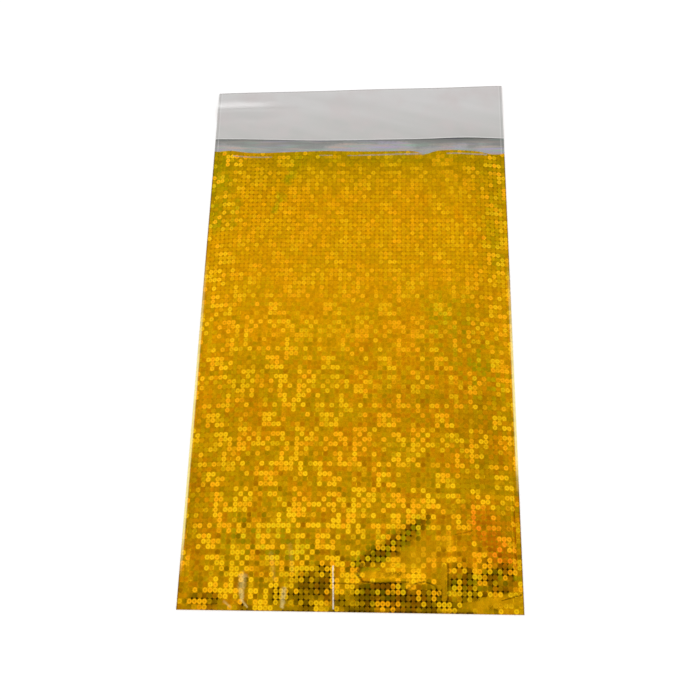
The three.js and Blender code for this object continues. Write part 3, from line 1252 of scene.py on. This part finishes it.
@dataclass(frozen=True)
class SilverFinish:
    """Bare inside of the film: dull silver with faint streaks of rainbow, painted lighter by the
    mouth with painted light and sheen strokes, and with a painted shadow under the liner's edge.

    Ramps are over millimetres past the mouth, a noise, or the share of the pale silver.
    """

    pale: Colour = rgb(150, 150, 148)
    shade: Colour = rgb(122, 122, 119)
    # Painted shadow under the liner's edge.
    liner_shadow: Colour = rgb(102, 102, 100)
    lilac: Colour = rgb(154, 146, 170)
    mint: Colour = rgb(138, 162, 146)
    rose: Colour = rgb(168, 150, 140)
    broad: Fineness = (14.0, 60.0, 1.0)
    lilac_streaks: Fineness = (34.0, 420.0, 1.0)
    mint_streaks: Fineness = (43.0, 540.0, 1.0)
    rose_streaks: Fineness = (52.0, 660.0, 1.0)
    # Painted light: lighter by the mouth.
    painted_light_ramp: Ramp = (1.0, 9.0, 0.15, -0.25)
    pale_share: Ramp = (0.10, 0.80, 0.0, 1.0)
    liner_shade: Ramp = (7.3, 9.0, 0.0, 0.7)
    streak: Ramp = (0.48, 0.70, 0.0, 1.0)
    streak_on_pale: Ramp = (0.1, 0.8, 0.25, 0.95)
    broad_share: float = 0.7
    sheen_share: float = 0.45
    metallic: float = 0.9
    roughness: float = 0.16
    cloud_roughness: float = 0.16
    relief: float = 0.25
    # Painted sheen on the silver by the mouth.
    sheen_strokes: tuple[Stroke, ...] = (
        Stroke((-76.0, 253.0), (-66.0, 251.5), 6.0, 0.8),
        Stroke((-14.0, 251.5), (26.0, 253.5), 7.0, 1.0, 0.0),
        Stroke((36.0, 251.0), (58.0, 255.0), 4.5, 0.8),
        Stroke((68.0, 253.0), (77.0, 252.0), 6.0, 0.8),
    )

    def material(self, form: BagForm) -> bpy.types.Material:
        """Builds the material.

        Args:
            form: The bag that it is for.

        Returns:
            The material.
        """
        graph = FilmGraph("silver_inside", form)
        past_mouth = graph.along * form.flat_length - 2 * form.length
        (sheen,) = graph.strokes(past_mouth + form.length, self.sheen_strokes)
        # Pale silver where the broad streaks, the painted sheen strokes and the painted light by the mouth
        # add up.
        share = graph.streaks(graph.place, self.broad) * self.broad_share + sheen * self.sheen_share
        share = share + past_mouth.step(*self.painted_light_ramp)
        colour = graph.mix(share.step(*self.pale_share), self.shade, self.pale)
        # Painted shadow under the liner's lower edge.
        colour = graph.mix(past_mouth.step(*self.liner_shade), colour, self.liner_shadow)
        streaks = (
            (self.lilac, self.lilac_streaks),
            (self.mint, self.mint_streaks),
            (self.rose, self.rose_streaks),
        )
        for tint, fineness in streaks:
            streak = graph.streaks(graph.place, fineness).step(*self.streak)
            colour = graph.mix(streak * share.step(*self.streak_on_pale), colour, tint)
        graph.dress(
            Base_Color=graph.weld_lines(colour),
            Metallic=self.metallic,
            Roughness=graph.marks["Cloud"] * self.cloud_roughness + self.roughness,
            Normal=graph.bump(self.relief),
        )
        return graph.material


@dataclass(frozen=True)
class LinerFinish:
    """Pale satin release film, with painted light that makes it lighter towards the free edge,
    and a painted highlight along its lower edge.

    Ramps are over the share of its height from its lower edge, or a noise.
    """

    pale: Colour = rgb(201, 199, 198)
    shade: Colour = rgb(183, 182, 179)
    rose: Colour = rgb(195, 186, 185)
    # Painted highlight along the liner's lower edge.
    edge_highlight: Colour = rgb(222, 221, 218)
    streaks: Fineness = (16.0, 150.0, 1.0)
    streaks_turn: float = math.radians(14.0)
    painted_light_ramp: Ramp = (0.0, 1.0, -0.42, 0.55)
    rosy: Ramp = (0.40, 0.75, 0.0, 0.7)
    cut: Ramp = (0.008, 0.028, 0.6, 0.0)
    streak_share: float = 0.9
    roughness: float = 0.16
    streak_roughness: float = 0.08
    specular: float = 0.9
    relief: float = 0.15

    def material(self, form: BagForm) -> bpy.types.Material:
        """Builds the material.

        Args:
            form: The bag that it is for.

        Returns:
            The material.
        """
        graph = FilmGraph("release_liner", form)
        turn = {"Vector": graph.place, "Rotation": (0.0, 0.0, self.streaks_turn)}
        streak = graph.streaks(graph.wire("Mapping", turn), self.streaks, 1.0)
        # Painted light: lighter towards the free edge.
        share = streak * self.streak_share + graph.along.step(*self.painted_light_ramp)
        colour = graph.mix(share, self.shade, self.pale)
        colour = graph.mix(graph.marks["Cloud"].step(*self.rosy), colour, self.rose)
        # Painted highlight along the lower edge.
        colour = graph.mix(graph.along.step(*self.cut), colour, self.edge_highlight)
        graph.dress(
            Base_Color=graph.weld_lines(colour),
            Roughness=streak * self.streak_roughness + self.roughness,
            Specular_IOR_Level=self.specular,
            Normal=graph.bump(self.relief),
        )
        return graph.material


@dataclass(frozen=True)
class AdhesiveFinish:
    """Clear tacky adhesive, seen as a dull grey edge."""

    grey: Colour = rgb(186, 184, 176)
    amber: Colour = rgb(198, 190, 168)
    roughness: float = 0.25
    cloud_roughness: float = 0.2
    relief: float = 0.3

    def material(self, form: BagForm) -> bpy.types.Material:
        """Builds the material.

        Args:
            form: The bag that it is for.

        Returns:
            The material.
        """
        graph = FilmGraph("clear_adhesive", form)
        cloud = graph.marks["Cloud"]
        graph.dress(
            Base_Color=graph.mix(cloud, self.grey, self.amber),
            Roughness=cloud * self.cloud_roughness + self.roughness,
            Normal=graph.bump(self.relief),
        )
        return graph.material


@dataclass(frozen=True)
class FilmBag:
    """The folded and welded film: front panel, bottom fold, back panel and flap.

    Its rows run from the mouth down the front, round the fold and up the back to the free edge.
    """

    form: BagForm
    columns: int = 150
    fine_rows: int = 74
    plain_rows: int = 124
    fold_rows: int = 6
    back_rows: int = 44
    flap_rows: int = 26
    fine_until: float = 58.0

    def chart(self, x: np.ndarray, from_mouth: np.ndarray) -> np.ndarray:
        """Map of the film, from 0 to 1 across and from the mouth to the free edge."""
        return np.stack([x / self.form.width + 0.5, from_mouth / self.form.flat_length], axis=-1)

    def front(self) -> tuple[np.ndarray, np.ndarray, np.ndarray]:
        """The front, which stands a film, a gap and the pocket over the back.

        Returns:
            Outer grid, inner grid and map.
        """
        form = self.form
        plain = np.linspace(form.length, self.fine_until, self.plain_rows, endpoint=False)
        fine = np.linspace(self.fine_until, 0.0, self.fine_rows)
        x, y = np.meshgrid(form.lines_across(self.columns), np.concatenate([plain, fine]))
        y = form.front_place(x, y)
        z = form.film + form.film_gap + form.pocket_height(x, y)
        return form.in_frame(x, y, z + form.film), form.in_frame(x, y, z), self.chart(x, form.length - y)

    def fold(self) -> tuple[np.ndarray, np.ndarray, np.ndarray]:
        """The fold, a half circle of film round half the gap.

        Returns:
            Outer grid, inner grid and map.
        """
        form = self.form
        turn = np.linspace(math.pi / 2, 3 * math.pi / 2, self.fold_rows + 2)[1:-1]
        x, angle = np.meshgrid(form.lines_across(self.columns), turn)
        inside = form.film_gap / 2
        middle = form.film + inside
        outer, inner = [
            form.in_frame(x, radius * np.cos(angle), middle + radius * np.sin(angle))
            for radius in (form.film + inside, inside)
        ]
        return outer, inner, self.chart(x, np.full_like(x, form.length))

    def back(self) -> tuple[np.ndarray, np.ndarray, np.ndarray]:
        """The back, flat on the floor, and the flap.

        Returns:
            Outer grid, inner grid and map.
        """
        form = self.form
        x_line = form.lines_across(self.columns)
        back_x, share = np.meshgrid(x_line, np.linspace(0.0, 1.0, self.back_rows))
        flap_x, flap_share = np.meshgrid(x_line, np.linspace(0.0, 1.0, self.flap_rows + 1)[1:])
        flap_y = form.length + flap_share * (form.free_edge(flap_x) - form.length)
        x = np.vstack([back_x, flap_x])
        y = np.vstack([share * form.length, flap_y])
        on_flap = y > form.length
        lift = form.flap_lift(x, y) * on_flap
        top = lift + form.film - form.weld_groove(x) * on_flap
        return form.in_frame(x, y, lift), form.in_frame(x, y, top), self.chart(x, form.length + y)

    def build(self, outside: bpy.types.Material, inside: bpy.types.Material) -> bpy.types.Object:
        """Builds the film and puts it in the frame.

        Args:
            outside: Finish of the outer face and the cut edges.
            inside: Finish of the inner face.

        Returns:
            The piece.
        """
        grids = [np.concatenate(parts) for parts in zip(self.front(), self.fold(), self.back())]
        piece = film_piece("foil_bag", "film_bag", grids, [outside, inside])
        return piece


@dataclass(frozen=True)
class ClosingStrip:
    """Adhesive and release liner on the flap's inner face, laid along the flap's own shape."""

    form: BagForm
    liner_from_mouth: float = 9.0
    liner_margin: float = 1.0
    liner_thickness: float = 0.06
    adhesive_inset: float = 4.0
    adhesive_thickness: float = 0.04
    visible_margin: float = 0.3
    lip_height: float = 0.08
    lip_width: float = 0.8
    lifted: Hump = Hump(58.0, 0.25, 12.0)
    lifted_run: float = 4.0
    bows: tuple[Hump, ...] = (Hump(-19.0, -0.8, 24.0), Hump(58.0, 1.0, 15.0))
    columns: int = 150
    rows: int = 44
    crowding: float = 1.5

    def layer(self, low: float, margin: float, base: float, thickness: float, lip: float) -> tuple:
        """A strip across the flap between two lines, with rows crowded towards the lower one.

        Args:
            low: Distance of its lower edge from the fold.
            margin: Distance of its upper edge from the flap's free edge.
            base: Height of its underside over the flap's outer face.
            thickness: Its thickness.
            lip: 1 where its lower edge is bowed and stands up a little, or 0.

        Returns:
            Upper grid, lower grid and map.
        """
        form = self.form
        line = np.linspace(1.0, 0.0, self.rows) ** self.crowding
        x, share = np.meshgrid(form.lines_across(self.columns), line)
        edge = low + lip * sum(bow.lift(x) for bow in self.bows)
        y = edge + share * (form.free_edge(x) - margin - edge)
        raised = self.lip_height * bell(y - edge, self.lip_width)
        raised = raised + self.lifted.lift(x) * bell(y - edge, self.lifted_run)
        z = form.flap_lift(x, y) + base + lip * raised - form.weld_groove(x)
        chart = np.stack([x / form.width + 0.5, share], axis=-1)
        return form.in_frame(x, y, z + thickness), form.in_frame(x, y, z), chart

    def build(self, adhesive: bpy.types.Material, liner: bpy.types.Material) -> list[bpy.types.Object]:
        """Builds both strips.

        Args:
            adhesive: Finish of the adhesive.
            liner: Finish of the liner.

        Returns:
            The two pieces.
        """
        form = self.form
        low = form.length + self.liner_from_mouth
        inset = self.adhesive_inset
        thickness = self.adhesive_thickness
        glue_grids = self.layer(low + inset, self.liner_margin + inset, form.film, thickness, 0.0)
        cover_grids = self.layer(low, self.visible_margin, form.film + thickness, self.liner_thickness, 1.0)
        glue = film_piece("adhesive", "adhesive_strip", glue_grids, [adhesive])
        cover = film_piece("liner", "release_liner", cover_grids, [liner])
        tall = form.flap + form.flap_out_of_square / 2 - self.liner_from_mouth - self.liner_margin
        flat = (form.width * MM, (tall + form.flap_out_of_square / 2) * MM)
        form.width * tall * MM * MM
        return [glue, cover]


@dataclass(frozen=True)
class Studio:
    """Pale floor, soft light all round and the camera of the photograph.

    Ramps of the light are over a direction's height, or its run along or across over its height.
    """

    camera_mm: tuple[float, float, float] = (17.28, -236.64, 503.0)
    view: tuple[float, float, float] = (-0.0358, 0.4014, -0.9152)
    up: tuple[float, float, float] = (-0.0069, 0.9157, 0.4019)
    focal_px: float = 1082.0
    sensor_mm: float = 36.0
    clip_start: float = 0.01
    white: Colour = (1.0, 1.0, 1.0, 1.0)
    floor_side: float = 12.0
    floor_z: float = -0.0002
    floor_grey: Colour = (0.62, 0.62, 0.62, 1.0)
    floor_glow: float = 0.46
    floor_roughness: float = 0.9
    lowest: float = 0.02
    ambient: float = 0.30
    dark: float = 0.06
    box_start: Ramp = (-0.14, -0.06, 0.0, 1.0)
    box_end: Ramp = (0.54, 1.00, 1.0, 0.0)
    box_sides: Ramp = (1.4, 1.8, 1.0, 0.0)
    box_near: Ramp = (0.24, 0.32, 1.05, 0.95)
    box_far: Ramp = (0.41, 0.54, 0.0, 0.67)
    box_right: Ramp = (0.02, 0.40, 1.0, 0.80)
    box_left: Ramp = (-0.50, -0.20, 0.86, 1.0)
    overhead: Ramp = (0.60, 0.72, 0.0, 1.0)
    ring: Ramp = (0.0, 0.55, 0.40, 1.72)
    strip: float = 2.48
    strip_start: Ramp = (1.38, 1.48, 0.0, 1.0)
    strip_end: Ramp = (1.75, 1.95, 1.0, 0.0)
    strip_sides: Ramp = (0.5, 0.8, 1.0, 0.0)

    def make_camera(self) -> None:
        """Places the camera where the photograph was taken from."""
        data = bpy.data.cameras.new("camera")
        data.sensor_width = self.sensor_mm
        data.lens = self.focal_px / PHOTO_SIDE_PX * self.sensor_mm
        data.clip_start = self.clip_start
        camera = bpy.data.objects.new("camera", data)
        back = -Vector(self.view).normalized()
        right = Vector(self.up).cross(back).normalized()
        above = back.cross(right)
        turn = Matrix((right, above, back)).transposed().to_4x4()
        camera.matrix_world = Matrix.Translation(Vector(self.camera_mm) * MM) @ turn
        bpy.context.scene.collection.objects.link(camera)
        bpy.context.scene.camera = camera

    def make_floor(self) -> None:
        """Lays a pale floor that shows white to the camera and keeps the bag's shadow."""
        half = self.floor_side / 2
        corners = [(-half, -half, 0.0), (half, -half, 0.0), (half, half, 0.0), (-half, half, 0.0)]
        mesh = bpy.data.meshes.new("floor")
        mesh.from_pydata(corners, [], [(0, 1, 2, 3)])
        floor = bpy.data.objects.new("floor", mesh)
        bpy.context.scene.collection.objects.link(floor)
        material = bpy.data.materials.new("pale_floor")
        material.use_nodes = True
        graph = ShaderGraph(material.node_tree)
        path = graph.node("LightPath").outputs
        rays = ("Is Camera Ray", "Is Glossy Ray", "Is Transmission Ray")
        seen = graph.highest(*[Wire(graph, path[ray]) for ray in rays])
        looks = {
            "Base Color": self.floor_grey,
            "Roughness": self.floor_roughness,
            "Specular IOR Level": 0.0,
            "Emission Color": self.white,
            "Emission Strength": seen * self.floor_glow,
        }
        for name, value in looks.items():
            graph.feed(graph.tree.nodes["Principled BSDF"].inputs[name], value)
        mesh.materials.append(material)
        floor.location.z = self.floor_z

    def make_light(self) -> None:
        """Lights the bag from a studio all round, which the camera itself sees as white.

        A wide soft box crosses the zenith and leans away from the camera, a bright ring of low
        boxes stands about the bag with a brighter strip, and the camera's side overhead is dark.
        """
        world = bpy.data.worlds.new("studio")
        bpy.context.scene.world = world
        world.use_nodes = True
        graph = ShaderGraph(world.node_tree)
        across, along, height = graph.split(graph.wire("TexCoord", output="Generated"))
        above = graph.highest(height, self.lowest)
        lean = along / above
        aside = across / above
        past_edge = lean.step(*self.box_start)
        overhead = height.step(*self.overhead)
        box = past_edge * lean.step(*self.box_end) * abs(aside).step(*self.box_sides)
        box_level = lean.step(*self.box_near) + lean.step(*self.box_far)
        box_level = box_level * aside.step(*self.box_right) * aside.step(*self.box_left)
        level = (1.0 - past_edge) * overhead * (self.dark - self.ambient) + self.ambient
        level = level + box * (box_level - self.ambient)
        level = level + (1.0 - overhead) * (height.step(*self.ring) - level)
        strip = lean.step(*self.strip_start) * lean.step(*self.strip_end) * abs(aside).step(*self.strip_sides)
        level = level + strip * self.strip
        seen = graph.wire("LightPath", output="Is Camera Ray")
        background = graph.tree.nodes["Background"].inputs
        graph.feed(background["Color"], self.white)
        graph.feed(background["Strength"], level * (1.0 - seen) + seen)

    def build(self) -> None:
        """Makes the camera, the floor and the light."""
        self.make_camera()
        self.make_floor()
        self.make_light()
        bpy.context.scene.view_settings.view_transform = "Standard"


def main() -> None:
    """Builds the studio, the bag and its closing strip, and reports each piece."""
    logging.basicConfig(level=logging.INFO, format="%(name)s: %(message)s")
    form = BagForm.from_frame()
    Studio().build()
    pieces = [FilmBag(form).build(FoilFinish().material(form), SilverFinish().material(form))]
    pieces += ClosingStrip(form).build(AdhesiveFinish().material(form), LinerFinish().material(form))
    for piece in pieces:
        triangles = 2 * len(piece.data.polygons)
        LOG.info("%s: %d triangles, finish %s", piece.name, triangles, piece.data.materials[0].name)


if __name__ == "__main__":
    main()
